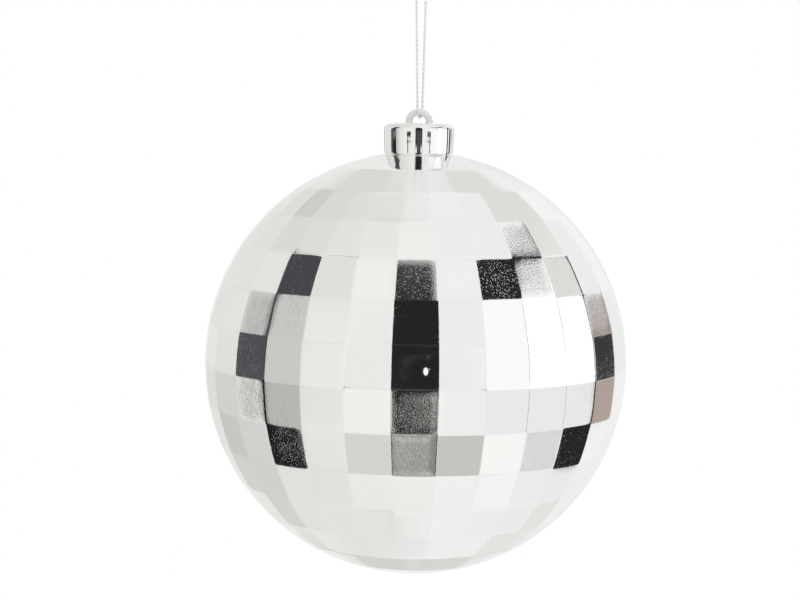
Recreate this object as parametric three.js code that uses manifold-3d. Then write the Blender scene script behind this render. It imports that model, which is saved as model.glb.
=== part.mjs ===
// A hanging mirror ball: a hollow moulded ball with a facet grid, a push-fit cap with an
// arched eyelet, and a knotted loop of thin twisted cord.
//
// Millimetres, +Z up. The origin is the point where the cord loop rests on whatever it hangs
// from. The shapes below are drawn about the ball's centre, and the outer group lowers them
// all so that the loop's resting face comes to the origin.

import * as THREE from 'three';
import { mergeVertices } from 'three/addons/utils/BufferGeometryUtils.js';
import Module from 'manifold-3d';

const wasm = await Module();
wasm.setup();

// ---- driving dimensions -----------------------------------------------------------------

const BALL_DIAMETER = 150;
const COLUMNS = 30;             // facets round the ball, one centred on -Y
const ROWS = 16;                // facet rows from pole to pole, with an edge on the equator
const SHELL_WALL = 1.2;

const CAP_DIAMETER = 24.7;
const CAP_HEIGHT = 10.9;
const CAP_WALL = 1.5;
const CAP_SHOULDER_ACROSS = 3;  // the rounded top edge, measured inwards
const CAP_SHOULDER_DOWN = 2;    // and measured down the side
const CAP_FOOT_ROUND = 1;       // the rounding of the cap's bottom edge
const CAP_SEAT_GAP = 0.3;       // between the cap's foot and the ball

const CEILING_GAP = 1;          // from the neck's rim up to the inside of the cap
const BEAD_STANDS = 0.4;        // how far the grip bead stands out of the neck
const BEAD_HEIGHT = 0.8;
const BEAD_DROP = 1.2;          // from the neck's rim down to the bead
const NECK_CHAMFER = 0.4;       // on the rim, and under the bead
const PUSH_GAP = 0.3;           // between the bead and the cap's bore

const EYELET_HOLE = 4.65;       // width of the arched hole
const EYELET_BAND = 2.53;       // thickness of the round band
const EYELET_RISE = 0.35;       // straight part of each leg, from cap top to arch centre

const CORD_DIAMETER = 1;
const CORD_SIDES = 8;
const CORD_GAP = 0.25;          // between the cord and the eyelet band
const BIGHT_SKEW = THREE.MathUtils.degToRad(24); // turn of the bight away from front to back
const BIGHT_OFFSET = 0.2;       // and its shift to the right
const HOOK_BEND_RADIUS = 2.15;  // centre line of the bend at the top of the loop
const LOOP_HEIGHT = 62.5;       // from the eyelet's top to the top of the bend's centre line
const TWIST_DROP = 15;          // how far under the bend the cord twists
const JOINT_GAP = 0.7;          // open length between two cord lengths that move
const BEND_GAP = 1;             // the same where the cord bends above the eyelet

const KNOT_SIZE = new THREE.Vector3(3.4, 2.6, 3);
const KNOT_DROP = 7;            // how far under the bend the knot sits
const TAIL_LENGTH = 5;
const TAIL_SLOPES = [0.5, -0.9]; // rise of each cut end for its run outwards

const CAP_SEGMENTS = 48;
const BAND_SIDES = 12;
const ARCH_STEPS = 25;
const BIGHT_STEPS = 21;
const LOOP_STEPS = 51;          // odd, so that one step lies flat across the top of the bend

const SILVER = { color: 0xe4e6e8, roughness: 0.06, metalness: 1 };
const CORD_SILVER = { color: 0xd9dbde, roughness: 0.45, metalness: 0.6 };

// ---- places worked out from them --------------------------------------------------------

const ballRadius = BALL_DIAMETER / 2;
const rowAngle = Math.PI / ROWS;

const capRadius = CAP_DIAMETER / 2;
const boreRadius = capRadius - CAP_WALL;
const beadRadius = boreRadius - PUSH_GAP;
const neckRadius = beadRadius - BEAD_STANDS;

const poleRing = ringAt(ballRadius, ROWS - 1);
const capFoot = onPoleCone(capRadius) + CAP_SEAT_GAP;
const capTop = capFoot + CAP_HEIGHT;
const neckTop = capTop - CAP_WALL - CEILING_GAP;

const archCentre = capTop + EYELET_RISE;
const archRadius = (EYELET_HOLE + EYELET_BAND) / 2;
const bandCentre = archCentre + archRadius;
const eyeletTop = bandCentre + EYELET_BAND / 2;

const cordRadius = CORD_DIAMETER / 2;
const loopTop = eyeletTop + LOOP_HEIGHT;
const bendCentre = loopTop - HOOK_BEND_RADIUS;
const twistHeight = bendCentre - TWIST_DROP;
const legEnd = eyeletTop + cordRadius;

// The cord's eight-sided section has a flat on the inside of the bend, and the loop rests on it.
const restHeight = loopTop - cordRadius * Math.cos(Math.PI / CORD_SIDES);

// The two legs of the bight stand in front of the eyelet and behind it, a little askew.
const bightRadius = EYELET_BAND / 2 + CORD_GAP + cordRadius;
const frontLeg = bightPoint(-1, legEnd);
const backLeg = bightPoint(1, legEnd);

function ringAt(radius, row) {
  const latitude = -Math.PI / 2 + row * rowAngle;
  return new THREE.Vector2(radius * Math.cos(latitude), radius * Math.sin(latitude));
}

// Height of the cone that closes the top of the ball, at a distance from the axis.
function onPoleCone(distance) {
  const slope = (ballRadius - poleRing.y) / poleRing.x;
  return ballRadius - slope * distance;
}

// A point of the bight's front (-1) or back (+1) leg.
function bightPoint(side, height) {
  const across = side * bightRadius * Math.sin(BIGHT_SKEW) + BIGHT_OFFSET;
  const depth = side * bightRadius * Math.cos(BIGHT_SKEW);
  return new THREE.Vector3(across, depth, height);
}

// ---- making solids ----------------------------------------------------------------------

// Turns a profile of (distance from axis, height) points round Z. A profile that runs up the
// outside of the wall faces outwards. The first edge lies half a segment away from -Y.
function turned(profile, segments) {
  const geometry = new THREE.LatheGeometry(profile, segments, Math.PI / segments);
  return geometry.rotateX(Math.PI / 2);
}

function polygon(radius, sides) {
  const corners = [];
  for (let i = 0; i < sides; i += 1) {
    const angle = (i + 0.5) * 2 * Math.PI / sides;
    corners.push(new THREE.Vector2(radius * Math.cos(angle), radius * Math.sin(angle)));
  }
  return new THREE.Shape(corners);
}

function tube(path, radius, sides, steps) {
  return new THREE.ExtrudeGeometry(polygon(radius, sides), { steps, extrudePath: path });
}

// A straight run, a half circle about centre, and a straight run back, in the plane that
// holds Z and the direction across. The half circle bulges along up, which is 1 or -1.
function hairpin(centre, across, radius, up, straight) {
  const path = new THREE.CurvePath();
  const lift = new THREE.Vector3(0, 0, up);
  const place = (sideways, along) => centre.clone()
    .addScaledVector(across, sideways)
    .addScaledVector(lift, along);
  const bend = new THREE.Curve();
  bend.getPoint = (t) => place(-radius * Math.cos(Math.PI * t), radius * Math.sin(Math.PI * t));
  path.add(new THREE.LineCurve3(place(-radius, -straight), place(-radius, 0)));
  path.add(bend);
  path.add(new THREE.LineCurve3(place(radius, 0), place(radius, -straight)));
  return path;
}

function toSolid(geometry) {
  const bare = geometry.clone();
  bare.deleteAttribute('normal');
  bare.deleteAttribute('uv');
  const merged = mergeVertices(bare);
  const corners = merged.index.array;
  const kept = [];
  for (let i = 0; i < corners.length; i += 3) {
    const [a, b, c] = [corners[i], corners[i + 1], corners[i + 2]];
    if (a !== b && b !== c && c !== a) kept.push(a, b, c);
  }
  return new wasm.Manifold(new wasm.Mesh({
    numProp: 3,
    vertProperties: new Float32Array(merged.attributes.position.array),
    triVerts: new Uint32Array(kept),
  }));
}

function toGeometry(solid) {
  const mesh = solid.getMesh();
  const geometry = new THREE.BufferGeometry();
  geometry.setAttribute('position', new THREE.BufferAttribute(mesh.vertProperties, 3));
  geometry.setIndex(new THREE.BufferAttribute(mesh.triVerts, 1));
  return geometry;
}

function joined(...geometries) {
  return toGeometry(geometries.map(toSolid).reduce((all, next) => all.add(next)));
}

// ---- the ball ---------------------------------------------------------------------------

// One blow-moulded piece: the outside is the facet grid, and the neck's bore opens the inside.
function ballShell() {
  const insideScale = (ballRadius - SHELL_WALL) / ballRadius;
  const profile = [];
  for (let row = 0; row < ROWS; row += 1) {
    profile.push(ringAt(ballRadius, row));
  }
  profile[0].x = 0;
  const neckBore = neckRadius - SHELL_WALL;
  const beadTop = neckTop - BEAD_DROP;
  const beadFoot = beadTop - BEAD_HEIGHT;
  profile.push(new THREE.Vector2(neckRadius, onPoleCone(neckRadius)));
  profile.push(new THREE.Vector2(neckRadius, beadFoot - NECK_CHAMFER));
  profile.push(new THREE.Vector2(beadRadius, beadFoot));
  profile.push(new THREE.Vector2(beadRadius, beadTop));
  profile.push(new THREE.Vector2(neckRadius, neckTop - NECK_CHAMFER));
  profile.push(new THREE.Vector2(neckRadius - NECK_CHAMFER, neckTop));
  profile.push(new THREE.Vector2(neckBore, neckTop));
  profile.push(new THREE.Vector2(neckBore, onPoleCone(neckBore) - SHELL_WALL));
  for (let row = ROWS - 1; row >= 0; row -= 1) {
    profile.push(ringAt(ballRadius * insideScale, row));
  }
  profile[profile.length - 1].x = 0;
  return turned(profile, COLUMNS);
}

// ---- the cap and its eyelet -------------------------------------------------------------

// Quarter of an ellipse that ends flush with the cap's side, from one angle to the other.
function roundedEdge(across, height, centreHeight, from, to, steps) {
  const centre = capRadius - across;
  return new THREE.EllipseCurve(centre, centreHeight, across, height, from, to).getPoints(steps);
}

function capGeometry() {
  const ceiling = capTop - CAP_WALL;
  const foot = roundedEdge(CAP_FOOT_ROUND, CAP_FOOT_ROUND, capFoot + CAP_FOOT_ROUND,
    -Math.PI / 2, 0, 4);
  const shoulder = roundedEdge(CAP_SHOULDER_ACROSS, CAP_SHOULDER_DOWN,
    capTop - CAP_SHOULDER_DOWN, 0, Math.PI / 2, 6);
  const profile = [
    new THREE.Vector2(0, ceiling),
    new THREE.Vector2(boreRadius, ceiling),
    new THREE.Vector2(boreRadius, capFoot),
    ...foot,
    ...shoulder,
    new THREE.Vector2(0, capTop),
  ];
  const body = turned(profile, CAP_SEGMENTS);
  const legRoot = CAP_WALL / 2 + EYELET_RISE;
  const centre = new THREE.Vector3(0, 0, archCentre);
  const arch = hairpin(centre, new THREE.Vector3(1, 0, 0), archRadius, 1, legRoot);
  return joined(body, tube(arch, EYELET_BAND / 2, BAND_SIDES, ARCH_STEPS));
}

// ---- the cord ---------------------------------------------------------------------------

// The bend that rests on the hook, the knot beside it, and the knot's two cut ends.
function cordTop() {
  const centre = new THREE.Vector3(0, 0, bendCentre);
  const across = new THREE.Vector3(1, 0, 0);
  const ends = [frontLeg, backLeg].map((leg) => strandPoint(leg, twistHeight + JOINT_GAP / 2));
  const path = new THREE.CurvePath();
  const bend = hairpin(centre, across, HOOK_BEND_RADIUS, 1, 0).curves[1];
  path.add(new THREE.LineCurve3(ends[0], bend.getPoint(0)));
  path.add(bend);
  path.add(new THREE.LineCurve3(bend.getPoint(1), ends[1]));
  const knotPlace = strandPoint(backLeg, bendCentre - KNOT_DROP);
  knotPlace.x += KNOT_SIZE.x / 2 - cordRadius;
  const knot = new THREE.SphereGeometry(0.5, 12, 8);
  knot.scale(KNOT_SIZE.x, KNOT_SIZE.y, KNOT_SIZE.z);
  knot.translate(knotPlace.x, knotPlace.y, knotPlace.z);
  const tails = TAIL_SLOPES.map((slope) => knotTail(knotPlace, slope));
  return joined(tube(path, cordRadius, CORD_SIDES, LOOP_STEPS), knot, ...tails);
}

// One cut end, leaving the knot outwards and rising by the given slope.
function knotTail(start, slope) {
  const direction = new THREE.Vector3(1, 0, slope).normalize();
  const end = start.clone().addScaledVector(direction, KNOT_SIZE.x / 2 + TAIL_LENGTH);
  return tube(new THREE.LineCurve3(start, end), cordRadius, CORD_SIDES, 1);
}

// A point of the straight strand from one leg of the bight up to its side of the hook bend.
function strandPoint(leg, height) {
  const top = new THREE.Vector3(Math.sign(leg.y) * HOOK_BEND_RADIUS, 0, bendCentre);
  return leg.clone().lerp(top, (height - leg.z) / (top.z - leg.z));
}

function cordStrand(leg) {
  const low = strandPoint(leg, legEnd + BEND_GAP);
  const high = strandPoint(leg, twistHeight - JOINT_GAP / 2);
  return tube(new THREE.LineCurve3(low, high), cordRadius, CORD_SIDES, 1);
}

// The bight that passes through the eyelet, round the underside of its band.
function cordBight() {
  const centre = new THREE.Vector3(BIGHT_OFFSET, 0, bandCentre);
  const across = new THREE.Vector3(Math.sin(BIGHT_SKEW), Math.cos(BIGHT_SKEW), 0);
  const path = hairpin(centre, across, bightRadius, -1, legEnd - bandCentre);
  return tube(path, cordRadius, CORD_SIDES, BIGHT_STEPS);
}

// ---- the assembly -----------------------------------------------------------------------

const ornament = new THREE.Group();

function addPiece(name, geometry, finish) {
  const mesh = new THREE.Mesh(geometry, new THREE.MeshStandardMaterial(finish));
  mesh.name = name;
  ornament.add(mesh);
}

addPiece('ball_shell', ballShell(), SILVER);
addPiece('cap', capGeometry(), SILVER);
addPiece('cord_bight', cordBight(), CORD_SILVER);
addPiece('cord_strand_front', cordStrand(frontLeg), CORD_SILVER);
addPiece('cord_strand_back', cordStrand(backLeg), CORD_SILVER);
addPiece('cord_top', cordTop(), CORD_SILVER);

ornament.position.z = -restHeight;

const part = new THREE.Group();
part.add(ornament);

export default part;
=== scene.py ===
"""A hanging mirror ball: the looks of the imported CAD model, in metres, in the CAD's own frame."""

import math

import bpy
import numpy as np
from mathutils import Euler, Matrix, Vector


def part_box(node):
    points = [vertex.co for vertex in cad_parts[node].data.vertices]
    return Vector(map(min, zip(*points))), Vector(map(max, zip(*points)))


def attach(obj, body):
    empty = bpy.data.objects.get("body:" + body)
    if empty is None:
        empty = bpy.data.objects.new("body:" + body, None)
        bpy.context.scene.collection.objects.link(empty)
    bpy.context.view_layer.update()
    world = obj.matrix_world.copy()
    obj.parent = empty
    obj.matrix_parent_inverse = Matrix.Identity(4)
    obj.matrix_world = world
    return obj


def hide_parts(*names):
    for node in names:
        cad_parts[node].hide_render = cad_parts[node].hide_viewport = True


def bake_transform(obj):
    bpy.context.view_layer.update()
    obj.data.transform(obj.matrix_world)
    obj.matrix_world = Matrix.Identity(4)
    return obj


MM = 0.001
TURN = 2 * math.pi
TINY = 1e-9                      # a length below this counts as zero
SOFTENED_STEPS = 4               # lines round each corner that is rounded off
CORNER_SHARE = 0.45              # at most this much of a short line is cut back at one corner

# ---- the ball: the same grid of facets as the CAD, with rounded edges -------------------------

COLUMNS = 30
ROWS = 16
EDGE_ROUNDING = 0.5 * MM         # tight rounding, from an edge of a facet inwards
EDGE_SHARE = 0.2                 # at most this much of a short side is one rounding
EDGE_STEPS = 3
CROWN_WIDTH = 3.2 * MM           # gentle fall of each facet towards its edges
CROWN_SHARE = 0.4                # at most this much of a short side is one crown
CROWN_TILT = math.radians(1.6)
CROWN_STEPS = 2
FLAT_STEPS = 4
CELL = 2 * (EDGE_STEPS + CROWN_STEPS) + FLAT_STEPS   # quads along each side of a facet
FACET_BULGE = 0.7                # how far the facets fill the gap up to the ball's full radius
SHELL_WALL = 1.2 * MM
NECK_RADIUS = 10.15 * MM
NECK_FOOT_LIFT = 0.3 * MM        # from the last ring of the facets up to the neck's first ring
NECK_BEAD = 0.4 * MM             # how far the grip bead stands out from the neck
NECK_BEAD_DROPS = (2.4, 2.0, 1.2, 0.4)   # depths of the bead's corners under the rim, mm
NECK_RIM_CHAMFER = 0.4 * MM
NECK_RIM_UNDER_CAP_TOP = 2.5 * MM
NECK_SOFTENING = 0.2 * MM

# ---- the cap and its eyelet -------------------------------------------------------------------

CAP_RADIUS = 12.35 * MM
CAP_HEIGHT = 10.9 * MM
CAP_WALL = 1.5 * MM
CAP_SHOULDER = (3 * MM, 2 * MM)        # rounded top edge: measured inwards, and down the side
CAP_FOOT_ROUND = (0.8 * MM, 1.1 * MM)  # rounded bottom edge: inwards, and up the side
CAP_SIDE_LEAN = math.radians(3)        # how far the side turns under from its top to its foot
CAP_SIDE_POINTS = 13
FOOT_ARC = (-85, -8, 12)               # first and last angle in degrees, and steps between them
SHOULDER_ARC = (4, 90, 20)             # the same
CAP_CEILING_MARGIN = 2 * MM            # ring of points on the ceiling, in from the bore
CAP_SOFTENING = 0.15 * MM
CAP_SEGMENTS = 144
CAD_SEAT_GAP = 0.3 * MM                # between the CAD cap's foot and the ball
SEAT_GAP = 0.05 * MM                   # between this cap's foot and the ball
EYELET_HOLE = 4.65 * MM
EYELET_BAND = 2.53 * MM
EYELET_RISE = 0.35 * MM                # from the cap's top to the centre of the arch
EYELET_FILLET = 0.7 * MM               # flare of each leg where it grows out of the cap
EYELET_LEG_RINGS = 13
EYELET_ARCH_RINGS = 49
EYELET_SIDES = 36
EYELET_COAT_RISE = 0.05 * MM           # from the cap's top to where the eyelet's own coat starts

# ---- the cord ---------------------------------------------------------------------------------

CORD_RADIUS = 0.5 * MM
PLY_RADIUS = 0.27 * MM
PLY_SIDES = 10
TWIST_PITCH = 3.3 * MM           # one full turn of a ply
RINGS_PER_TURN = 18
CORD_EASING = 1.2 * MM           # length over which a corner of the cord's path is eased
CORD_GAP = 0.25 * MM             # between the cord and the eyelet's band
HOOK_BEND_RADIUS = 2.15 * MM     # of the cord's path over the hook
LOOP_HEIGHT = 62.5 * MM          # from the top of the eyelet to the top of the cord's path
ARC_POINTS = 40
BIGHT_SKEW = math.radians(24)    # turn about the vertical of the bend through the eyelet
BIGHT_OFFSET = 0.2 * MM          # how far that bend sits to the right of the middle
KNOT_DROP = 7 * MM               # from the centre of the hook bend down to the knot
KNOT_OFFSET = 1.2 * MM           # from the strand out to the knot's centre
KNOT_SIZE = (0.42, 0.5, 0.36)    # scale of the knot across, front to back and upwards, mm
KNOT_POINTS = 120
TAIL_LENGTH = 5 * MM             # of a cut end, outside the knot
TAIL_HIDDEN = 1.7 * MM           # of a cut end, inside the knot
TAIL_ARCH = 0.5 * MM             # how far the middle of a cut end bows upwards
TAIL_SLOPES = (0.5, -0.9)
CORD_CUT = -0.040                # height where the loop's piece and the eyelet's piece meet

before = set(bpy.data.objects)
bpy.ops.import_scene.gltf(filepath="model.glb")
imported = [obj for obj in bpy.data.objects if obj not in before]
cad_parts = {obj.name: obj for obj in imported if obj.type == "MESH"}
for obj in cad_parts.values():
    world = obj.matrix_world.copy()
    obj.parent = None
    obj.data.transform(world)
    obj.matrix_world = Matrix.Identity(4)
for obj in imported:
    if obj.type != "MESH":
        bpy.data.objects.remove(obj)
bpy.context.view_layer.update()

# ---- places worked out from the frame ---------------------------------------------------------

# BALL_CENTRE is a point. The others are heights, apart from the two radii.
ball_low, ball_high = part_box("ball_shell")
BALL_RADIUS = (ball_high.x - ball_low.x) / 2
BALL_CENTRE = Vector((0, 0, ball_low.z + BALL_RADIUS))
CAP_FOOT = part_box("cap")[0].z
CAP_TOP = CAP_FOOT + CAP_HEIGHT
ARCH_CENTRE = CAP_TOP + EYELET_RISE
ARCH_RADIUS = (EYELET_HOLE + EYELET_BAND) / 2
BAND_CENTRE = ARCH_CENTRE + ARCH_RADIUS
EYELET_TOP = BAND_CENTRE + EYELET_BAND / 2
BEND_CENTRE = EYELET_TOP + LOOP_HEIGHT - HOOK_BEND_RADIUS
LEG_END = EYELET_TOP + CORD_RADIUS


# ---- making meshes ----------------------------------------------------------------------------

def new_object(name, points, faces, normals=None):
    """A smooth-shaded mesh object. A normal of zero length leaves that point's normal to Blender."""
    mesh = bpy.data.meshes.new(name)
    mesh.from_pydata([tuple(p) for p in points], [], faces)
    mesh.validate()
    mesh.shade_smooth()
    if normals is not None:
        mesh.normals_split_custom_set_from_vertices([tuple(n) for n in normals])
    obj = bpy.data.objects.new(name, mesh)
    bpy.context.scene.collection.objects.link(obj)
    return obj


def ring_faces(rings, around):
    """Quads between rings of points; a ring of one point is a pole."""
    starts = np.cumsum([0] + [len(ring) for ring in rings])
    faces = []
    for line in range(len(rings) - 1):
        low, high = starts[line], starts[line + 1]
        for i in range(around):
            j = (i + 1) % around
            if len(rings[line]) == 1:
                faces.append((low, high + j, high + i))
            elif len(rings[line + 1]) == 1:
                faces.append((low + i, low + j, high))
            else:
                faces.append((low + i, low + j, high + j, high + i))
    return faces


def turned_ring(radius, height, around):
    """Points round Z, starting half a column to the left of -Y; one point if it is a pole."""
    if radius < TINY:
        return np.array([[0, 0, height]])
    angle = np.arange(around) * TURN / around - math.pi / COLUMNS
    return np.stack([radius * np.sin(angle), -radius * np.cos(angle), np.full(around, height)], 1)


def softened(profile, radius):
    """The profile with each of its inner corners cut back by radius and rounded off."""
    out = [profile[0]]
    for before, corner, after in zip(profile, profile[1:], profile[2:]):
        before, corner, after = map(np.array, (before, corner, after))
        back = min(radius, CORNER_SHARE * np.linalg.norm(before - corner),
                   CORNER_SHARE * np.linalg.norm(after - corner))
        start = corner + (before - corner) * back / np.linalg.norm(before - corner)
        end = corner + (after - corner) * back / np.linalg.norm(after - corner)
        for t in np.linspace(0, 1, SOFTENED_STEPS + 1):
            out.append(tuple(start * (1 - t) ** 2 + corner * 2 * t * (1 - t) + end * t ** 2))
    out.append(profile[-1])
    return out


def swept(centres, radii, sides, reference):
    """(points, faces) of a closed round tube along centres, framed by a direction it never runs in."""
    tangents = np.gradient(centres, axis=0)
    tangents /= np.linalg.norm(tangents, axis=1, keepdims=True)
    first, second = cross_axes(tangents, reference)
    angle = np.arange(sides) * TURN / sides
    rings = [centres[:1]]
    for centre, radius, a, b in zip(centres, radii, first, second):
        rings.append(centre + radius * (np.outer(np.cos(angle), a) + np.outer(np.sin(angle), b)))
    rings.append(centres[-1:])
    return np.concatenate(rings), ring_faces(rings, sides)


def cross_axes(tangents, reference):
    """Two unit directions across each tangent, the first as close to the reference as it can be."""
    reference = np.array(reference, float)
    first = reference - tangents * (tangents @ reference)[:, None]
    first /= np.linalg.norm(first, axis=1, keepdims=True)
    return first, np.cross(tangents, first)


def merged(name, parts):
    """One object from several lots of (points, faces)."""
    points, faces = joined(parts)
    return new_object(name, points, faces)


def joined(parts):
    """One lot of (points, faces) from several."""
    points, faces = [], []
    start = 0
    for part_points, part_faces in parts:
        points.append(part_points)
        faces += [tuple(v + start for v in face) for face in part_faces]
        start += len(part_points)
    return np.concatenate(points), faces


# ---- the ball's mesh --------------------------------------------------------------------------

def edge_widths(length):
    """Widths of the tight rounding and of the gentle crown on a facet this long or wide."""
    return min(EDGE_ROUNDING, EDGE_SHARE * length), min(CROWN_WIDTH, CROWN_SHARE * length)


def cell_marks(length):
    """Places along one side of a facet: close together in its rounded edges."""
    rounding, crown = edge_widths(length)
    edge = np.linspace(0, rounding, EDGE_STEPS + 1)
    slope = np.linspace(rounding, crown, CROWN_STEPS + 1)[1:]
    flat = np.linspace(crown, length - crown, FLAT_STEPS + 1)[1:-1]
    near = np.concatenate([edge, slope])
    return np.concatenate([near, flat, length - near[::-1]])


def fallen(distance, length, half_angle):
    """(depth, tilt) at a distance from an edge, for facets that meet at twice half_angle."""
    depth, tilt = 0.0, 0.0
    crown_tilt = min(CROWN_TILT, half_angle / 2)
    for width, share in zip(edge_widths(length), (half_angle - crown_tilt, crown_tilt)):
        reach = max(width - distance, 0)
        depth += reach ** 2 * math.tan(share) / max(width, TINY) / 2
        tilt += reach * math.tan(share) / max(width, TINY)
    return depth, tilt


def facet_patch(low, high, column):
    """Points and normals of one facet between two rings given as (radius, height)."""
    half_column = math.pi / COLUMNS
    half_row = math.pi / ROWS / 2
    run = (high[0] - low[0]) * math.cos(half_column)
    rise = high[1] - low[1]
    length = math.hypot(run, rise)
    along = np.array([run, rise]) / length
    outward = np.array([along[1], -along[0]])
    bend = math.asin(outward[0] * math.sin(half_column))
    spin = column * TURN / COLUMNS
    radial = np.array([math.sin(spin), -math.cos(spin), 0])
    sideways = np.array([math.cos(spin), math.sin(spin), 0])
    up = np.array([0, 0, 1.0])
    normal = radial * outward[0] + up * outward[1]
    slope = radial * along[0] + up * along[1]
    points, normals = [], []
    for s in cell_marks(length):
        radius = low[0] + (high[0] - low[0]) * s / length
        height = low[1] + rise * s / length
        half_width = radius * math.sin(half_column)
        depth_low, tilt_low = fallen(s, length, half_row)
        depth_high, tilt_high = fallen(length - s, length, half_row)
        for mark in cell_marks(2 * half_width):
            x = mark - half_width
            depth_side, tilt_side = fallen(half_width - abs(x), 2 * half_width, bend)
            base = radial * radius * math.cos(half_column) + sideways * x + up * height
            points.append(base - normal * (depth_low + depth_high + depth_side))
            tilt = slope * (tilt_high - tilt_low) + sideways * tilt_side * np.sign(x)
            normals.append(normal + tilt)
    shape = (CELL + 1, CELL + 1, 3)
    return np.array(points).reshape(shape), np.array(normals).reshape(shape)


def facet_grid(rings):
    """The whole faceted outside, with each point shared by the facets that meet there."""
    lines = CELL * (len(rings) - 1) + 1
    around = CELL * COLUMNS
    points = np.zeros((lines, around, 3))
    normals = np.zeros((lines, around, 3))
    count = np.zeros((lines, around, 1))
    for row, (low, high) in enumerate(zip(rings, rings[1:])):
        rows = np.arange(row * CELL, (row + 1) * CELL + 1)
        for column in range(COLUMNS):
            patch, patch_normals = facet_patch(low, high, column)
            columns = np.arange(column * CELL, (column + 1) * CELL + 1) % around
            place = np.ix_(rows, columns)
            points[place] += patch
            normals[place] += patch_normals
            count[place] += 1
    points /= count
    reach = np.linalg.norm(points, axis=2, keepdims=True)
    points *= 1 + FACET_BULGE * (BALL_RADIUS / reach - 1)
    normals /= np.linalg.norm(normals, axis=2, keepdims=True)
    return points, normals


def sphere_ring(radius, row):
    """(radius, height) of a sphere's ring, so many rows of facets up from its lowest point."""
    latitude = -math.pi / 2 + row * math.pi / ROWS
    return radius * math.cos(latitude), radius * math.sin(latitude)


def neck_foot(top_ring):
    """Height at which the cone of the top row of facets runs into the neck."""
    cone = (BALL_RADIUS - top_ring[1]) / top_ring[0]
    return BALL_RADIUS - cone * NECK_RADIUS


def neck_profile(foot):
    """Corners of the neck: from its foot, over its grip bead and rim, and down its bore."""
    rim = CAP_TOP - BALL_CENTRE.z - NECK_RIM_UNDER_CAP_TOP
    bore = NECK_RADIUS - SHELL_WALL
    bead = NECK_RADIUS + NECK_BEAD
    bead_foot, bead_low, bead_high, bead_top = (rim - drop * MM for drop in NECK_BEAD_DROPS)
    return [
        (NECK_RADIUS, foot + NECK_FOOT_LIFT),
        (NECK_RADIUS, bead_foot),
        (bead, bead_low),
        (bead, bead_high),
        (NECK_RADIUS, bead_top),
        (NECK_RADIUS - NECK_RIM_CHAMFER, rim),
        (bore, rim),
        (bore, foot - SHELL_WALL),
    ]


def inside_profile():
    """The inside of the shell from the neck down to the bottom pole: two rings a row of facets."""
    rings = [sphere_ring(BALL_RADIUS - SHELL_WALL, row / 2) for row in range(2 * ROWS - 3, 0, -1)]
    return rings + [(0, SHELL_WALL - BALL_RADIUS)]


def ball_shell():
    """The facets, the neck and the inside, as one closed mesh."""
    rings = [sphere_ring(BALL_RADIUS, row) for row in range(ROWS)]
    foot = neck_foot(rings[-1])
    rings.append((NECK_RADIUS, foot))
    grid, grid_normals = facet_grid(rings)
    around = CELL * COLUMNS
    lines = [grid[0][:1]] + list(grid[1:])
    normals = [np.array([[0, 0, -1.0]])] + list(grid_normals[1:])
    normals[-1] = normals[-1] * 0
    for radius, height in softened(neck_profile(foot), NECK_SOFTENING) + inside_profile():
        ring = turned_ring(radius, height, around)
        lines.append(ring)
        normals.append(ring * 0)
    points = np.concatenate(lines) + np.array(BALL_CENTRE)
    faces = ring_faces(lines, around)
    return new_object("mirror_shell", points, faces, np.concatenate(normals))


# ---- the cap's mesh ---------------------------------------------------------------------------

def ellipse_arc(centre, size, first, last, steps):
    """Points of an ellipse about centre, from one angle to the other, both in degrees."""
    angles = np.radians(np.linspace(first, last, steps + 1))
    return [(centre[0] + size[0] * math.cos(a), centre[1] + size[1] * math.sin(a)) for a in angles]


def cap_profile():
    """Ceiling, bore, foot, leaning side, rounded shoulder and top. Its arcs stop a few degrees
    short of the straight parts, so that no two points fall together."""
    bore = CAP_RADIUS - CAP_WALL
    ceiling = CAP_TOP - CAP_WALL
    foot = CAP_FOOT - CAD_SEAT_GAP + SEAT_GAP
    side_foot = foot + CAP_FOOT_ROUND[1]
    side_top = CAP_TOP - CAP_SHOULDER[1]
    tuck = (side_top - side_foot) * math.tan(CAP_SIDE_LEAN) / 2
    foot_radius = CAP_RADIUS - tuck - CAP_FOOT_ROUND[0]
    inside = softened([(bore - CAP_CEILING_MARGIN, ceiling), (bore, ceiling),
                       (bore, foot), (foot_radius, foot)], CAP_SOFTENING)
    under = ellipse_arc((foot_radius, side_foot), CAP_FOOT_ROUND, *FOOT_ARC)
    side = []
    for t in np.linspace(0, 1, CAP_SIDE_POINTS):
        side.append((CAP_RADIUS - tuck * (1 - t) ** 2, side_foot + (side_top - side_foot) * t))
    shoulder = ellipse_arc((CAP_RADIUS - CAP_SHOULDER[0], side_top), CAP_SHOULDER, *SHOULDER_ARC)
    return [(0, ceiling)] + inside + under + side + shoulder + [(0, CAP_TOP)]


def cap_body():
    """The cap without its eyelet."""
    rings = [turned_ring(radius, height, CAP_SEGMENTS) for radius, height in cap_profile()]
    faces = ring_faces(rings, CAP_SEGMENTS)
    return new_object("mirror_cap", np.concatenate(rings), faces)


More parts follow.
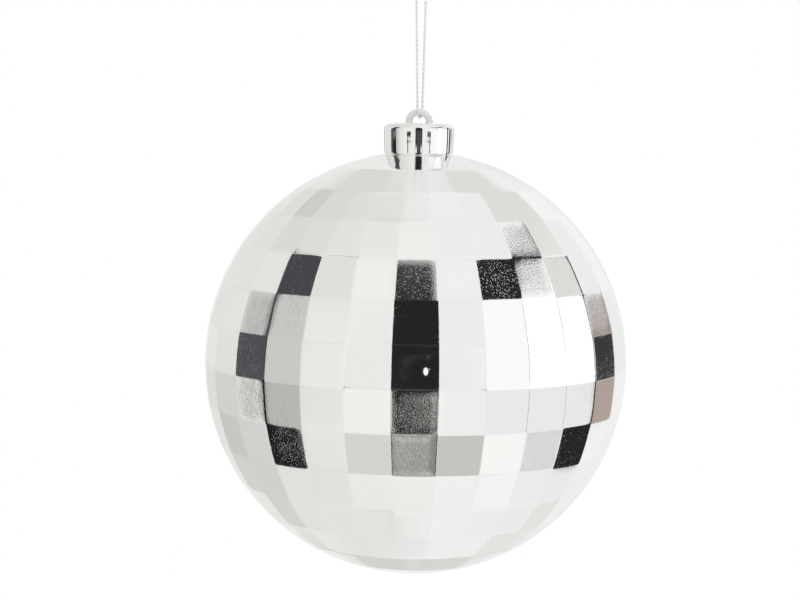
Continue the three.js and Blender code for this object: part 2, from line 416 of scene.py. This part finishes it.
def eyelet():
    """The arch: a round band whose two legs flare where they run into the top of the cap."""
    root = EYELET_RISE + CAP_WALL / 2
    straight = np.linspace(-root, 0, EYELET_LEG_RINGS + 1)[:-1]
    bend = np.radians(np.linspace(180, 0, EYELET_ARCH_RINGS))
    left = [(-ARCH_RADIUS, 0, h) for h in straight]
    arch = [(ARCH_RADIUS * math.cos(a), 0, ARCH_RADIUS * math.sin(a)) for a in bend]
    right = [(ARCH_RADIUS, 0, h) for h in straight[::-1]]
    centres = np.array(left + arch + right) + np.array([0, 0, ARCH_CENTRE])
    above = np.clip(centres[:, 2] - CAP_TOP, 0, EYELET_FILLET)
    flare = EYELET_FILLET - np.sqrt(EYELET_FILLET ** 2 - (EYELET_FILLET - above) ** 2)
    tube = swept(centres, EYELET_BAND / 2 + flare, EYELET_SIDES, (0, 1, 0))
    return new_object("eyelet_arch", *tube)


def apply_modifiers(obj):
    """Replaces the object's mesh by the result of its modifiers."""
    bpy.context.view_layer.update()
    evaluated = obj.evaluated_get(bpy.context.evaluated_depsgraph_get())
    mesh = bpy.data.meshes.new_from_object(evaluated)
    obj.modifiers.clear()
    obj.data = mesh


def mirror_cap():
    """The cap and its eyelet, joined into one closed mesh."""
    cap = cap_body()
    arch = eyelet()
    union = cap.modifiers.new("union", "BOOLEAN")
    union.operation = "UNION"
    union.solver = "EXACT"
    union.object = arch
    apply_modifiers(cap)
    bpy.data.objects.remove(arch)
    cap.data.shade_smooth()
    weighted = cap.modifiers.new("weighted", "WEIGHTED_NORMAL")
    weighted.weight = 100
    apply_modifiers(cap)
    return cap


# ---- the cord's mesh --------------------------------------------------------------------------

def bight_leg(side):
    """Top of the front (-1) or back (+1) leg of the bend through the eyelet."""
    reach = side * (EYELET_BAND / 2 + CORD_GAP + CORD_RADIUS)
    x = reach * math.sin(BIGHT_SKEW) + BIGHT_OFFSET
    return np.array([x, reach * math.cos(BIGHT_SKEW), LEG_END])


def strand_at(side, height):
    """A point of the straight strand from a leg of that bend up to its side of the hook bend."""
    leg = bight_leg(side)
    top = np.array([side * HOOK_BEND_RADIUS, 0, BEND_CENTRE])
    return leg + (top - leg) * (height - leg[2]) / (top[2] - leg[2])


def arc_points(centre, across, radius, up):
    """A half circle about centre that bulges up (1) or down (-1)."""
    points = []
    for angle in np.linspace(math.pi, 0, ARC_POINTS):
        rise = np.array([0, 0, up * math.sin(angle)])
        points.append(np.array(centre) + radius * (math.cos(angle) * np.array(across) + rise))
    return points


def resampled(points, step, soften):
    """The path at an even step, with its corners eased over the length soften."""
    points = np.array(points, float)
    for _ in range(2):
        lengths = np.linalg.norm(np.diff(points, axis=0), axis=1)
        place = np.concatenate([[0], np.cumsum(lengths)])
        wanted = np.linspace(0, place[-1], max(3, round(place[-1] / step)))
        points = np.stack([np.interp(wanted, place, points[:, k]) for k in range(3)], 1)
        width = 2 * round(soften / step / 2) + 1
        padded = np.concatenate([
            2 * points[0] - points[width // 2:0:-1], points,
            2 * points[-1] - points[-2:-width // 2 - 1:-1]])
        kernel = np.full(width, 1 / width)
        points = np.stack([np.convolve(padded[:, k], kernel, "valid") for k in range(3)], 1)
    return points


def twisted_pair(points, reference):
    """(points, faces) of two plies twisted about a path; at both of its ends they lie along X."""
    centres = resampled(points, TWIST_PITCH / RINGS_PER_TURN, CORD_EASING)
    tangents = np.gradient(centres, axis=0)
    tangents /= np.linalg.norm(tangents, axis=1, keepdims=True)
    first, second = cross_axes(tangents, reference)
    steps = np.linalg.norm(np.diff(centres, axis=0), axis=1)
    place = np.concatenate([[0], np.cumsum(steps)])
    start, end = (math.atan2(second[k][0], first[k][0]) for k in (0, -1))
    half_turns = round((place[-1] * TURN / TWIST_PITCH + start - end) / math.pi)
    angle = start + (end - start + half_turns * math.pi) * place / place[-1]
    offset = CORD_RADIUS - PLY_RADIUS
    shift = np.cos(angle)[:, None] * first + np.sin(angle)[:, None] * second
    plies = []
    for side in (1, -1):
        ply = centres + side * offset * shift
        plies.append(swept(ply, np.full(len(ply), PLY_RADIUS), PLY_SIDES, reference))
    return joined(plies)


def cord_at_eyelet(cut):
    """The cord below the cut: down in front of the eyelet, through it, and up behind."""
    across = (math.sin(BIGHT_SKEW), math.cos(BIGHT_SKEW), 0)
    centre = (BIGHT_OFFSET, 0, BAND_CENTRE)
    radius = EYELET_BAND / 2 + CORD_GAP + CORD_RADIUS
    path = [strand_at(-1, cut)] + arc_points(centre, across, radius, -1) + [strand_at(1, cut)]
    return merged("cord_at_eyelet", [twisted_pair(path, (across[1], -across[0], 0))])


def knot_path(centre):
    """A closed overhand knot about centre."""
    t = np.linspace(0, TURN, KNOT_POINTS)
    across, deep, tall = KNOT_SIZE
    x = (np.sin(t) + 2 * np.sin(2 * t)) * across
    y = -np.sin(3 * t) * deep
    z = (np.cos(t) - 2 * np.cos(2 * t)) * tall
    return centre + np.stack([x, y, z], 1) * MM


def cord_loop(cut):
    """The cord above the cut: both strands, the bend that rests on the hook, the knot and its ends."""
    bend = arc_points((0, 0, BEND_CENTRE), (1, 0, 0), HOOK_BEND_RADIUS, 1)
    path = [strand_at(-1, cut)] + bend + [strand_at(1, cut)]
    knot = strand_at(1, BEND_CENTRE - KNOT_DROP) + np.array([KNOT_OFFSET, 0, 0])
    parts = [twisted_pair(path, (0, 1, 0)), twisted_pair(knot_path(knot), (0, 1, 0.2))]
    for slope in TAIL_SLOPES:
        direction = np.array([1, 0, slope]) / math.hypot(1, slope)
        end = knot + direction * (TAIL_LENGTH + TAIL_HIDDEN)
        middle = (knot + end) / 2 + np.array([0, 0, TAIL_ARCH])
        parts.append(twisted_pair([knot, middle, end], (0, 1, 0)))
    return merged("cord_loop", parts)


# ---- node helpers -----------------------------------------------------------------------------

class Graph:
    """Adds shader nodes to a tree. A socket, a number or a tuple may be given for any input."""

    def __init__(self, tree):
        self.tree = tree
        self.tree.nodes.clear()

    def node(self, kind, inputs=(), **settings):
        """A new node, with its inputs by name or number and its other settings by name."""
        node = self.tree.nodes.new("ShaderNode" + kind)
        for name, value in settings.items():
            setattr(node, name, value)
        for key, value in dict(inputs).items():
            self.feed(node.inputs[key], value)
        return node

    def feed(self, socket, value):
        """Links a socket to an input, or sets the input to a plain value."""
        if isinstance(value, bpy.types.NodeSocket):
            self.tree.links.new(value, socket)
        else:
            socket.default_value = value

    def math(self, operation, *values):
        return self.node("Math", enumerate(values), operation=operation).outputs[0]

    def ramp(self, value, low, high, at_low=0.0, at_high=1.0):
        """A smooth step between two values."""
        inputs = {"Value": value, "From Min": low, "From Max": high, "To Min": at_low, "To Max": at_high}
        return self.node("MapRange", inputs, interpolation_type="SMOOTHSTEP").outputs[0]

    def window(self, value, low, high, soft):
        """1 between low and high, fading to 0 over soft on either side of each."""
        rise = self.ramp(value, low - soft, low + soft)
        fall = self.ramp(value, high - soft, high + soft, 1.0, 0.0)
        return self.math("MULTIPLY", rise, fall)

    def mix(self, factor, first, second):
        """A colour between two colours."""
        node = self.node("Mix", {"Factor": factor}, data_type="RGBA")
        self.feed(node.inputs[6], first)
        self.feed(node.inputs[7], second)
        return node.outputs[2]

    def noise(self, vector, scale, detail=2.0, roughness=0.5):
        """Smooth noise about 0.5; over places on the object, its scale is in lumps per metre."""
        inputs = {"Vector": vector, "Scale": scale, "Detail": detail, "Roughness": roughness}
        return self.node("TexNoise", inputs).outputs["Fac"]

    def scaled(self, colour, factor):
        """A colour made lighter or darker."""
        node = self.node("VectorMath", {0: colour, 3: factor}, operation="SCALE")
        return node.outputs[0]

    def distance(self, place, point):
        """How far a place on the object is from a fixed point."""
        node = self.node("VectorMath", {0: place, 1: tuple(point)}, operation="DISTANCE")
        return node.outputs["Value"]

    def edge_on(self):
        """0 where a surface faces the eye, rising to 1 where it is seen edge on."""
        return self.node("LayerWeight", {"Blend": 0.5}).outputs["Facing"]


def grey(value):
    return (value, value, value, 1)


def new_material(name):
    """An empty material and the graph of its nodes."""
    material = bpy.data.materials.new(name)
    material.use_nodes = True
    return material, Graph(material.node_tree)


def finish_material(graph, inputs):
    """Ends a material in one surface shader with these inputs."""
    shader = graph.node("BsdfPrincipled", inputs)
    graph.node("OutputMaterial", {0: shader.outputs[0]})


def dress(obj, material):
    """Gives the object this material and no other."""
    obj.data.materials.clear()
    obj.data.materials.append(material)


# ---- materials --------------------------------------------------------------------------------

# The kinds of noise on the object.
SKIN = {"scale": 1900, "detail": 2.0, "roughness": 0.6}
SPOTS = {"scale": 2300, "detail": 1.0}
WAVES = {"scale": 130, "detail": 1.0}
DRIFT = {"scale": 70, "detail": 1.0}
CLOUDS = {"scale": 400, "detail": 3.0}
FIBRES = {"scale": 6000, "detail": 2.0, "roughness": 0.7}
MOST_NOISE = (0.3, 0.7)          # most values of a noise lie between these
MIDDLE_NOISE = (0.35, 0.65)      # a narrower span of them
LOW_NOISE = (0.3, 0.6)           # the lower part of them
HIGH_NOISE = (0.58, 0.76)        # only its peaks

COAT_TINT = (0.95, 0.952, 0.95, 1)
SPOT_HEIGHT = 0.6                # of the raised spots, beside the skin's own height of 1
HAZE_BETWEEN = (0.6, 1.5)        # the coat's roughness drifts between these times its mean
CALM_HAZE = 0.2                  # and is this much of it in the calm place
# Painted shade along the cap's outline: upright faces turned away from the eye are darkened in colour, a
# painted dark reflection.
UPRIGHT = (0.2, 0.5)             # upward part of the normal, from an upright face to a sloping one
TURNED_AWAY = (0.72, 0.86)       # how far a face is edge on where the painted shade starts and ends
PAINTED_OUTLINE_SHADE_TINT = grey(0.15)
FIBRE_TINTS = (grey(0.93), grey(1.0))
GROOVE_SHADE_TINT = grey(0.42)         # painted shade between the plies
GROOVE_OPENNESS = (0.3, 0.8)     # from deep in a groove to out on a ply
BAND_TINTS = (grey(0.93), grey(1.0))
BAND_SHIFT = (0.22, 0.38)        # how far the eyelet is edge on where it turns into a mirror

# Facets with a rough skin: column to the right of the front one and row above the equator's, with
# how strong the skin's relief is there.
ROUGH_FACETS = {
    (0, -1): 0.5, (0, -2): 0.5, (0, 2): 0.25, (2, 2): 0.75, (3, 2): 0.8, (3, 3): 0.8,
    (3, -2): 1.0, (4, -2): 0.35, (5, 1): 1.0, (-4, 1): 0.8, (-4, -1): 1.0, (-3, -2): 0.6,
}
ROUGH_CORE = 5 * MM              # full strength out to here from a rough facet's centre
ROUGH_REACH = 10 * MM            # and none from here on
CALM_SPOT = (2.9, -74.6, 6.2)    # a smooth place on the front of the ball, from its centre, mm
CALM_CORE = 3 * MM               # without relief out to here from that spot
CALM_REACH = 9 * MM              # and with all of it from here on


def facet_centre(column, row):
    """The middle of a facet, pushed out to the ball's full radius."""
    around = column * TURN / COLUMNS
    up = (row + 0.5) * math.pi / ROWS
    level = math.cos(up)
    direction = Vector((level * math.sin(around), -level * math.cos(around), math.sin(up)))
    return BALL_CENTRE + direction * BALL_RADIUS


def orange_peel(graph, place):
    """Height of a fine uneven skin with raised spots on it."""
    skin = graph.noise(place, **SKIN)
    spots = graph.ramp(graph.noise(place, **SPOTS), *HIGH_NOISE, 0.0, SPOT_HEIGHT)
    return graph.math("ADD", skin, spots)


def relief_strength(graph, place, between, rough_facets):
    """Strength of the relief: it drifts slowly between two values, and is raised on rough facets."""
    strength = graph.ramp(graph.noise(place, **DRIFT), *MIDDLE_NOISE, *between)
    for (column, row), level in rough_facets.items():
        away = graph.distance(place, facet_centre(column, row))
        rough = graph.ramp(away, ROUGH_CORE, ROUGH_REACH, level, 0.0)
        strength = graph.math("MAXIMUM", strength, rough)
    return strength


def painted_outline_shade(graph, amount):
    """Painted shade, up to amount, where an upright face turns away from the eye: a dark reflection
    painted into the colour.
    """
    normal = graph.node("NewGeometry").outputs["Normal"]
    upward = graph.node("SeparateXYZ", {0: normal}).outputs[2]
    upright = graph.ramp(graph.math("ABSOLUTE", upward), *UPRIGHT, amount, 0.0)
    turned_away = graph.ramp(graph.edge_on(), *TURNED_AWAY)
    return graph.math("MULTIPLY", upright, turned_away)


def mirror_coat(name, peel_height, wave_height, roughness, strength_between,
                rough_facets=None, calm_point=None, painted_shade_amount=0.0):
    """A metallised coat over moulded plastic: an orange-peel skin and a slow waviness under it.
    Round calm_point, if there is one, the skin is smooth. Upright faces get painted shade where they
    turn away from the eye, by the given amount: a dark reflection painted into the coat's colour."""
    material, graph = new_material(name)
    place = graph.node("TexCoord").outputs["Object"]
    peel = orange_peel(graph, place)
    wave = graph.noise(place, **WAVES)
    strength = relief_strength(graph, place, strength_between, rough_facets or {})
    haze_between = [roughness * factor for factor in HAZE_BETWEEN]
    haze = graph.ramp(graph.noise(place, **CLOUDS), *MOST_NOISE, *haze_between)
    if calm_point is not None:
        unrest = graph.ramp(graph.distance(place, calm_point), CALM_CORE, CALM_REACH)
        strength = graph.math("MULTIPLY", strength, unrest)
        haze = graph.math("MULTIPLY", haze, graph.ramp(unrest, 0, 1, CALM_HAZE, 1.0))
    peel_bump = graph.node("Bump", {"Height": peel, "Distance": peel_height, "Strength": strength})
    wave_bump = graph.node("Bump", {"Height": wave, "Distance": wave_height, "Strength": strength,
                                    "Normal": peel_bump.outputs[0]})
    # Painted shade: a dark reflection painted into the coat's colour where upright faces turn away from
    # the eye.
    tint = graph.mix(painted_outline_shade(graph, painted_shade_amount), COAT_TINT, PAINTED_OUTLINE_SHADE_TINT)
    finish_material(graph, {"Base Color": tint, "Metallic": 1.0,
                            "Roughness": haze, "Normal": wave_bump.outputs[0]})
    return material


def metallic_thread():
    """Spun metallic yarn: fine fibres that catch the light, with painted shade in the grooves between
    plies.
    """
    material, graph = new_material("metallic_thread")
    place = graph.node("TexCoord").outputs["Object"]
    fibres = graph.noise(place, **FIBRES)
    tint = graph.mix(graph.ramp(fibres, *MOST_NOISE), *FIBRE_TINTS)
    # Painted shade: ambient occlusion darkens the colour in the grooves between the plies.
    openness = graph.node("AmbientOcclusion", {"Distance": PLY_RADIUS}).outputs["AO"]
    tint = graph.mix(graph.ramp(openness, *GROOVE_OPENNESS), GROOVE_SHADE_TINT, tint)
    bump = graph.node("Bump", {"Height": fibres, "Distance": 0.01 * MM, "Strength": 0.5})
    finish_material(graph, {"Base Color": tint, "Metallic": 0.05,
                            "Roughness": graph.ramp(fibres, *MOST_NOISE, 0.45, 0.25),
                            "Sheen Weight": 0.6, "Sheen Roughness": 0.4,
                            "Normal": bump.outputs[0]})
    return material


def band_coat():
    """The eyelet's duller coat: milky where it faces the eye, and a mirror towards its edges."""
    material, graph = new_material("eyelet_coat")
    place = graph.node("TexCoord").outputs["Object"]
    peel = graph.noise(place, **SKIN)
    bump = graph.node("Bump", {"Height": peel, "Distance": 0.01 * MM, "Strength": 0.6})
    edge_on = graph.edge_on()
    tint = graph.mix(graph.ramp(peel, *LOW_NOISE), *BAND_TINTS)
    finish_material(graph, {"Base Color": tint, "Metallic": graph.ramp(edge_on, *BAND_SHIFT),
                            "Roughness": graph.ramp(edge_on, *BAND_SHIFT, 0.45, 0.06),
                            "Normal": bump.outputs[0]})
    return material


# ---- the studio -------------------------------------------------------------------------------

# What the ball mirrors: panels and gaps round it, by direction. Azimuth is 0 in front of the ball
# (-Y) and 90 at its right; elevation is above the horizon. Each row holds the azimuths of its left
# and right edge, the elevations of its lower and upper edge and the fade at its edges, all in
# degrees, and its colour. Later ones cover earlier ones.
PANELS = {
    "wall_left_high": (-100, -69, -9, 30, 3.5, (0.605, 0.610, 0.585)),
    "wall_left_low": (-100, -69, -29, -9, 3.5, (0.500, 0.505, 0.480)),
    "wall_left_shade": (-107, -97, 7, 19, 3.5, (0.590, 0.585, 0.565)),
    "far_left_low": (-150, -105, -43, -8, 5.0, (0.660, 0.665, 0.635)),
    "far_left_dull": (-139, -129, -27, -15, 4.0, (0.590, 0.597, 0.560)),
    "far_left_high": (-168, -112, 34, 63, 4.0, (0.720, 0.725, 0.690)),
    "far_left_patch": (-149, -139, 33, 44, 3.0, (0.620, 0.630, 0.590)),
    "wall_right_low": (38, 112, -27, -8, 4.0, (0.855, 0.860, 0.850)),
    "softbox_wing": (38, 66, -9, 33, 2.5, (1.00, 1.00, 1.00)),
    "softbox_right": (63, 117, -9, 34, 2.0, (1.12, 1.12, 1.12)),
    "far_right_high": (119, 168, 35, 58, 4.0, (0.750, 0.755, 0.725)),
    "near_right_high": (96, 114, 21, 35, 2.0, (0.760, 0.765, 0.735)),
    "near_right_top": (98, 118, 41, 47.5, 1.0, (0.30, 0.30, 0.29)),
    "table_left": (-46, -12, -54, -34, 3.0, (0.680, 0.690, 0.650)),
    "table_right": (12, 44, -54, -34, 3.0, (0.580, 0.585, 0.555)),
    "table_gap_right": (50, 66, -45, -33, 2.0, (0.970, 0.972, 0.950)),
    "seam_low_left": (-168.2, -165, -46, -30, 0.8, (0.25, 0.25, 0.25)),
    "seam_low_right": (165, 168.2, -46, -30, 0.8, (0.25, 0.25, 0.25)),
    "seam_high_left": (-75, -38, 53.6, 55.4, 0.4, (0.35, 0.35, 0.35)),
    "seam_high_right": (36, 62, 53.6, 55.4, 0.4, (0.60, 0.60, 0.60)),
    "back_low_left": (-181, -160, -49, -34, 3.0, (0.660, 0.670, 0.630)),
    "back_low_right": (164, 181, -49, -34, 3.0, (0.680, 0.690, 0.655)),
    "far_right_low": (138, 168, -52, -33, 4.0, (0.800, 0.805, 0.780)),
    "table_right_end": (79, 93, -40, -28, 2.5, (0.700, 0.705, 0.690)),
    "front_gap": (-11.5, 11.5, -57, 41, 1.5, (0.0185, 0.0185, 0.0185)),
    "front_gap_tip": (-9.5, 4.5, 38, 54, 3.0, (0.035, 0.036, 0.033)),
    "camera": (-7.5, 9, -7.5, 0, 1.0, (0.070, 0.070, 0.076)),
    "camera_left": (-16, -6, -10, -5.8, 0.8, (0.80, 0.80, 0.78)),
    "camera_right": (6, 16, -10, -5.8, 0.8, (0.80, 0.80, 0.78)),
    "stand": (-5.0, 4.2, -60, -19.5, 1.6, (0.44, 0.44, 0.42)),
    "front_gap_middle": (-12, 12, 10, 20, 1.0, (0.032, 0.032, 0.032)),
    "gap_left_high": (-100, -81, -2, 31, 1.5, (0.062, 0.064, 0.072)),
    "gap_left_top": (-101, -76, 28, 42, 1.0, (0.062, 0.064, 0.072)),
    "gap_left_tip": (-107, -99, 43.5, 46, 0.5, (0.062, 0.064, 0.072)),
    "gap_left_low": (-99.5, -80.5, -42, -2, 1.5, (0.014, 0.014, 0.016)),
    "gap_left_wide": (-105, -95, -8, 8, 1.5, (0.078, 0.080, 0.088)),
    "gap_right_high": (114, 125.5, 12, 29.5, 1.5, (0.05, 0.05, 0.053)),
    "gap_right_mid": (106.5, 113.5, -8, 20, 1.0, (0.05, 0.05, 0.053)),
    "gap_right_front": (119, 129, -8, 4.5, 1.0, (0.045, 0.045, 0.050)),
    "gap_right_low": (106, 123, -22, -8, 1.5, (0.02, 0.02, 0.02)),
    "gap_right_foot": (102.5, 123, -36, -21, 1.5, (0.02, 0.02, 0.02)),
    "warm_low": (122, 132, -19, -8, 2.0, (0.44, 0.36, 0.32)),
    "warm_high": (116, 131, 5, 9.5, 2.0, (0.34, 0.26, 0.24)),
    "gap_high_right": (48, 104, 37.7, 49.5, 1.2, (0.020, 0.020, 0.020)),
    "seam_right_1": (61, 64, 1, 30, 1.0, (0.25, 0.25, 0.25)),
    "seam_right_1_low": (61, 64, -27, -10, 1.0, (0.25, 0.25, 0.25)),
    "seam_right_2": (88, 91, 1, 30, 1.0, (0.25, 0.25, 0.25)),
    "seam_right_2_low": (88, 91, -27, -10, 1.0, (0.25, 0.25, 0.25)),
    "seam_far_right": (134, 139, -3, 14, 1.5, (0.12, 0.12, 0.12)),
    "lamp_left": (-40, -27, -3.0, -1.4, 0.3, (0.03, 0.03, 0.03)),
    "lamp_left_bar": (-41, -26, -4.4, -4.0, 0.2, (0.10, 0.10, 0.10)),
    "lamp_left_stand": (-38.5, -35.5, -12, -3, 0.5, (0.10, 0.10, 0.10)),
    "lamp_right": (27, 40, -3.0, -1.4, 0.3, (0.03, 0.03, 0.03)),
    "lamp_right_bar": (26, 41, -4.4, -4.0, 0.2, (0.15, 0.15, 0.15)),
    "lamp_right_stand": (35.5, 38.5, -12, -3, 0.5, (0.12, 0.12, 0.12)),
}
# Cluttered places, in blotches of two colours: azimuths, elevations, dark colour, bright colour.
CLUTTER = (
    (-11, 11, -26, -13, (0.02, 0.02, 0.02), (0.62, 0.62, 0.59)),
    (-6, 6, -50, -35, (0.25, 0.25, 0.23), (0.62, 0.62, 0.58)),
)
CLUTTER_FADE = 1.0
BLOTCHES = {"scale": 9, "detail": 4.0, "roughness": 0.65}
BLOTCH_EDGE = (0.43, 0.57)       # from the dark colour to the bright one
# Small bright lamps in the front gap: azimuth, elevation, half width and half height, in degrees.
FRONT_LAMPS = ((0.29, 3.73, 0.065, 0.105), (0.42, 3.79, 0.030, 0.035))
LAMP_VALUE = 1.2
LAMP_EDGE = (0.6, 1.4)           # squared distance from a lamp's centre, where 1 is its outline
# The wall behind the panels: its colours, and the azimuths between which one turns into the next.
SKY_LEFT = (0.790, 0.798, 0.760, 1)
SKY_FRONT = (0.885, 0.890, 0.860, 1)
SKY_RIGHT = (0.905, 0.908, 0.898, 1)
SKY_BACK = (0.855, 0.858, 0.838, 1)
LEFT_TO_FRONT = (-70, -26)
FRONT_TO_RIGHT = (-10, 25)
SIDES_TO_BACK = (155, 180)
WALL_NOISE = {"scale": 4.0, "detail": 3.0}
WALL_BETWEEN = (0.95, 1.04)      # the wall's brightness drifts between these times its own

FLOOR_HALF_WIDTH = 20.0
FLOOR_UNDER_BALL = 0.12

CAMERA_HEIGHT = 7.2              # degrees above the ball's equator
CAMERA_DISTANCE = 0.75
CAMERA_AIM = (1.69, 0.42, 0.9)   # up, left, and the lean of the picture, in degrees
CAMERA_LENS = 94.4               # millimetres
CAMERA_SENSOR = 36               # millimetres wide
CAMERA_CLIP = 0.01


def wall_behind(graph, direction, azimuth):
    """The plain wall, slightly uneven."""
    light = graph.mix(graph.ramp(azimuth, *LEFT_TO_FRONT), SKY_LEFT, SKY_FRONT)
    light = graph.mix(graph.ramp(azimuth, *FRONT_TO_RIGHT), light, SKY_RIGHT)
    light = graph.mix(graph.ramp(graph.math("ABSOLUTE", azimuth), *SIDES_TO_BACK), light, SKY_BACK)
    unevenness = graph.ramp(graph.noise(direction, **WALL_NOISE), *MOST_NOISE, *WALL_BETWEEN)
    return graph.scaled(light, unevenness)


def patch_cover(graph, azimuth, elevation, edges, fade):
    """1 inside a patch with edges (left, right, lower, upper), fading to 0 across them."""
    left, right, lower, upper = edges
    across = graph.window(azimuth, left, right, fade)
    along = graph.window(elevation, lower, upper, fade)
    return graph.math("MULTIPLY", across, along)


def lamp_cover(graph, azimuth, elevation, lamp):
    """1 on a small oval lamp and 0 off it."""
    lamp_azimuth, lamp_elevation, half_width, half_height = lamp
    across = graph.math("DIVIDE", graph.math("SUBTRACT", azimuth, lamp_azimuth), half_width)
    along = graph.math("DIVIDE", graph.math("SUBTRACT", elevation, lamp_elevation), half_height)
    across_squared = graph.math("POWER", across, 2.0)
    off_centre = graph.math("ADD", across_squared, graph.math("POWER", along, 2.0))
    return graph.ramp(off_centre, *LAMP_EDGE, 1.0, 0.0)


def studio_world():
    """White walls round the ball with gaps between them. The camera itself sees plain white."""
    world = bpy.data.worlds.new("studio")
    world.use_nodes = True
    bpy.context.scene.world = world
    graph = Graph(world.node_tree)
    direction = graph.node("TexCoord").outputs["Generated"]
    x, y, z = graph.node("SeparateXYZ", {0: direction}).outputs
    ahead = graph.math("MULTIPLY", y, -1.0)
    azimuth = graph.math("DEGREES", graph.math("ARCTAN2", x, ahead))
    elevation = graph.math("DEGREES", graph.math("ARCSINE", z))
    light = wall_behind(graph, direction, azimuth)
    for *edges, fade, colour in PANELS.values():
        cover = patch_cover(graph, azimuth, elevation, edges, fade)
        light = graph.mix(cover, light, (*colour, 1))
    blotches = graph.ramp(graph.noise(direction, **BLOTCHES), *BLOTCH_EDGE)
    for *edges, dark, bright in CLUTTER:
        cover = patch_cover(graph, azimuth, elevation, edges, CLUTTER_FADE)
        light = graph.mix(cover, light, (*dark, 1))
        light = graph.mix(graph.math("MULTIPLY", cover, blotches), light, (*bright, 1))
    for lamp in FRONT_LAMPS:
        light = graph.mix(lamp_cover(graph, azimuth, elevation, lamp), light, grey(LAMP_VALUE))
    seen = graph.node("LightPath").outputs["Is Camera Ray"]
    colour = graph.mix(seen, light, grey(1.0))
    background = graph.node("Background", {"Color": colour, "Strength": 1.0})
    graph.node("OutputWorld", {0: background.outputs[0]})


def pale_floor():
    """A wide plain floor under the ball, as white as the backdrop. The mirror coat doesn't see it,
    and from below it is clear."""
    size = FLOOR_HALF_WIDTH
    height = BALL_CENTRE.z - BALL_RADIUS - FLOOR_UNDER_BALL
    corners = [(x, y, height) for x, y in ((-size, -size), (size, -size), (size, size), (-size, size))]
    floor = new_object("floor", corners, [(0, 1, 2, 3)])
    material, graph = new_material("floor")
    from_below = graph.node("NewGeometry").outputs["Backfacing"]
    glow = graph.node("Emission", {"Color": grey(1.0), "Strength": 1.0})
    clear = graph.node("BsdfTransparent")
    surface = graph.node("MixShader", {0: from_below, 1: glow.outputs[0], 2: clear.outputs[0]})
    graph.node("OutputMaterial", {0: surface.outputs[0]})
    dress(floor, material)
    floor.visible_glossy = False


def camera():
    """In front of the ball and a little above it, aimed a little off its centre."""
    data = bpy.data.cameras.new("camera")
    data.sensor_width = CAMERA_SENSOR
    data.lens = CAMERA_LENS
    data.clip_start = CAMERA_CLIP
    obj = bpy.data.objects.new("camera", data)
    bpy.context.scene.collection.objects.link(obj)
    height = math.radians(CAMERA_HEIGHT)
    back = Vector((0, -math.cos(height), math.sin(height)))
    obj.location = BALL_CENTRE + back * CAMERA_DISTANCE
    level = back.to_track_quat("Z", "Y").to_matrix()
    aim = Euler([math.radians(a) for a in CAMERA_AIM], "XYZ").to_matrix()
    obj.rotation_euler = (level @ aim).to_euler()
    bpy.context.scene.camera = obj


# ---- putting it together ----------------------------------------------------------------------

ball_coat = mirror_coat("ball_coat", peel_height=0.03 * MM, wave_height=0.05 * MM,
                        roughness=0.03, strength_between=(0.18, 0.42),
                        rough_facets=ROUGH_FACETS,
                        calm_point=BALL_CENTRE + Vector(CALM_SPOT) * MM)
# The cap's coat has painted shade along its outline.
cap_coat = mirror_coat("cap_coat", peel_height=0.004 * MM, wave_height=0.02 * MM,
                       roughness=0.035, strength_between=(0.25, 1.0), painted_shade_amount=0.8)
eyelet_coat = band_coat()
thread = metallic_thread()

shell = ball_shell()
dress(shell, ball_coat)
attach(shell, "ball")
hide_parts("ball_shell")

cap = mirror_cap()
dress(cap, cap_coat)
cap.data.materials.append(eyelet_coat)
for face in cap.data.polygons:
    face.material_index = int(face.center.z > CAP_TOP + EYELET_COAT_RISE)
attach(cap, "cap")
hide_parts("cap")

loop = cord_loop(CORD_CUT)
dress(loop, thread)
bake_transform(loop)
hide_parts("cord_top", "cord_strand_front", "cord_strand_back")

bight = cord_at_eyelet(CORD_CUT)
dress(bight, thread)
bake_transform(bight)
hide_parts("cord_bight")

studio_world()
pale_floor()
camera()
bpy.context.scene.view_settings.view_transform = "Standard"
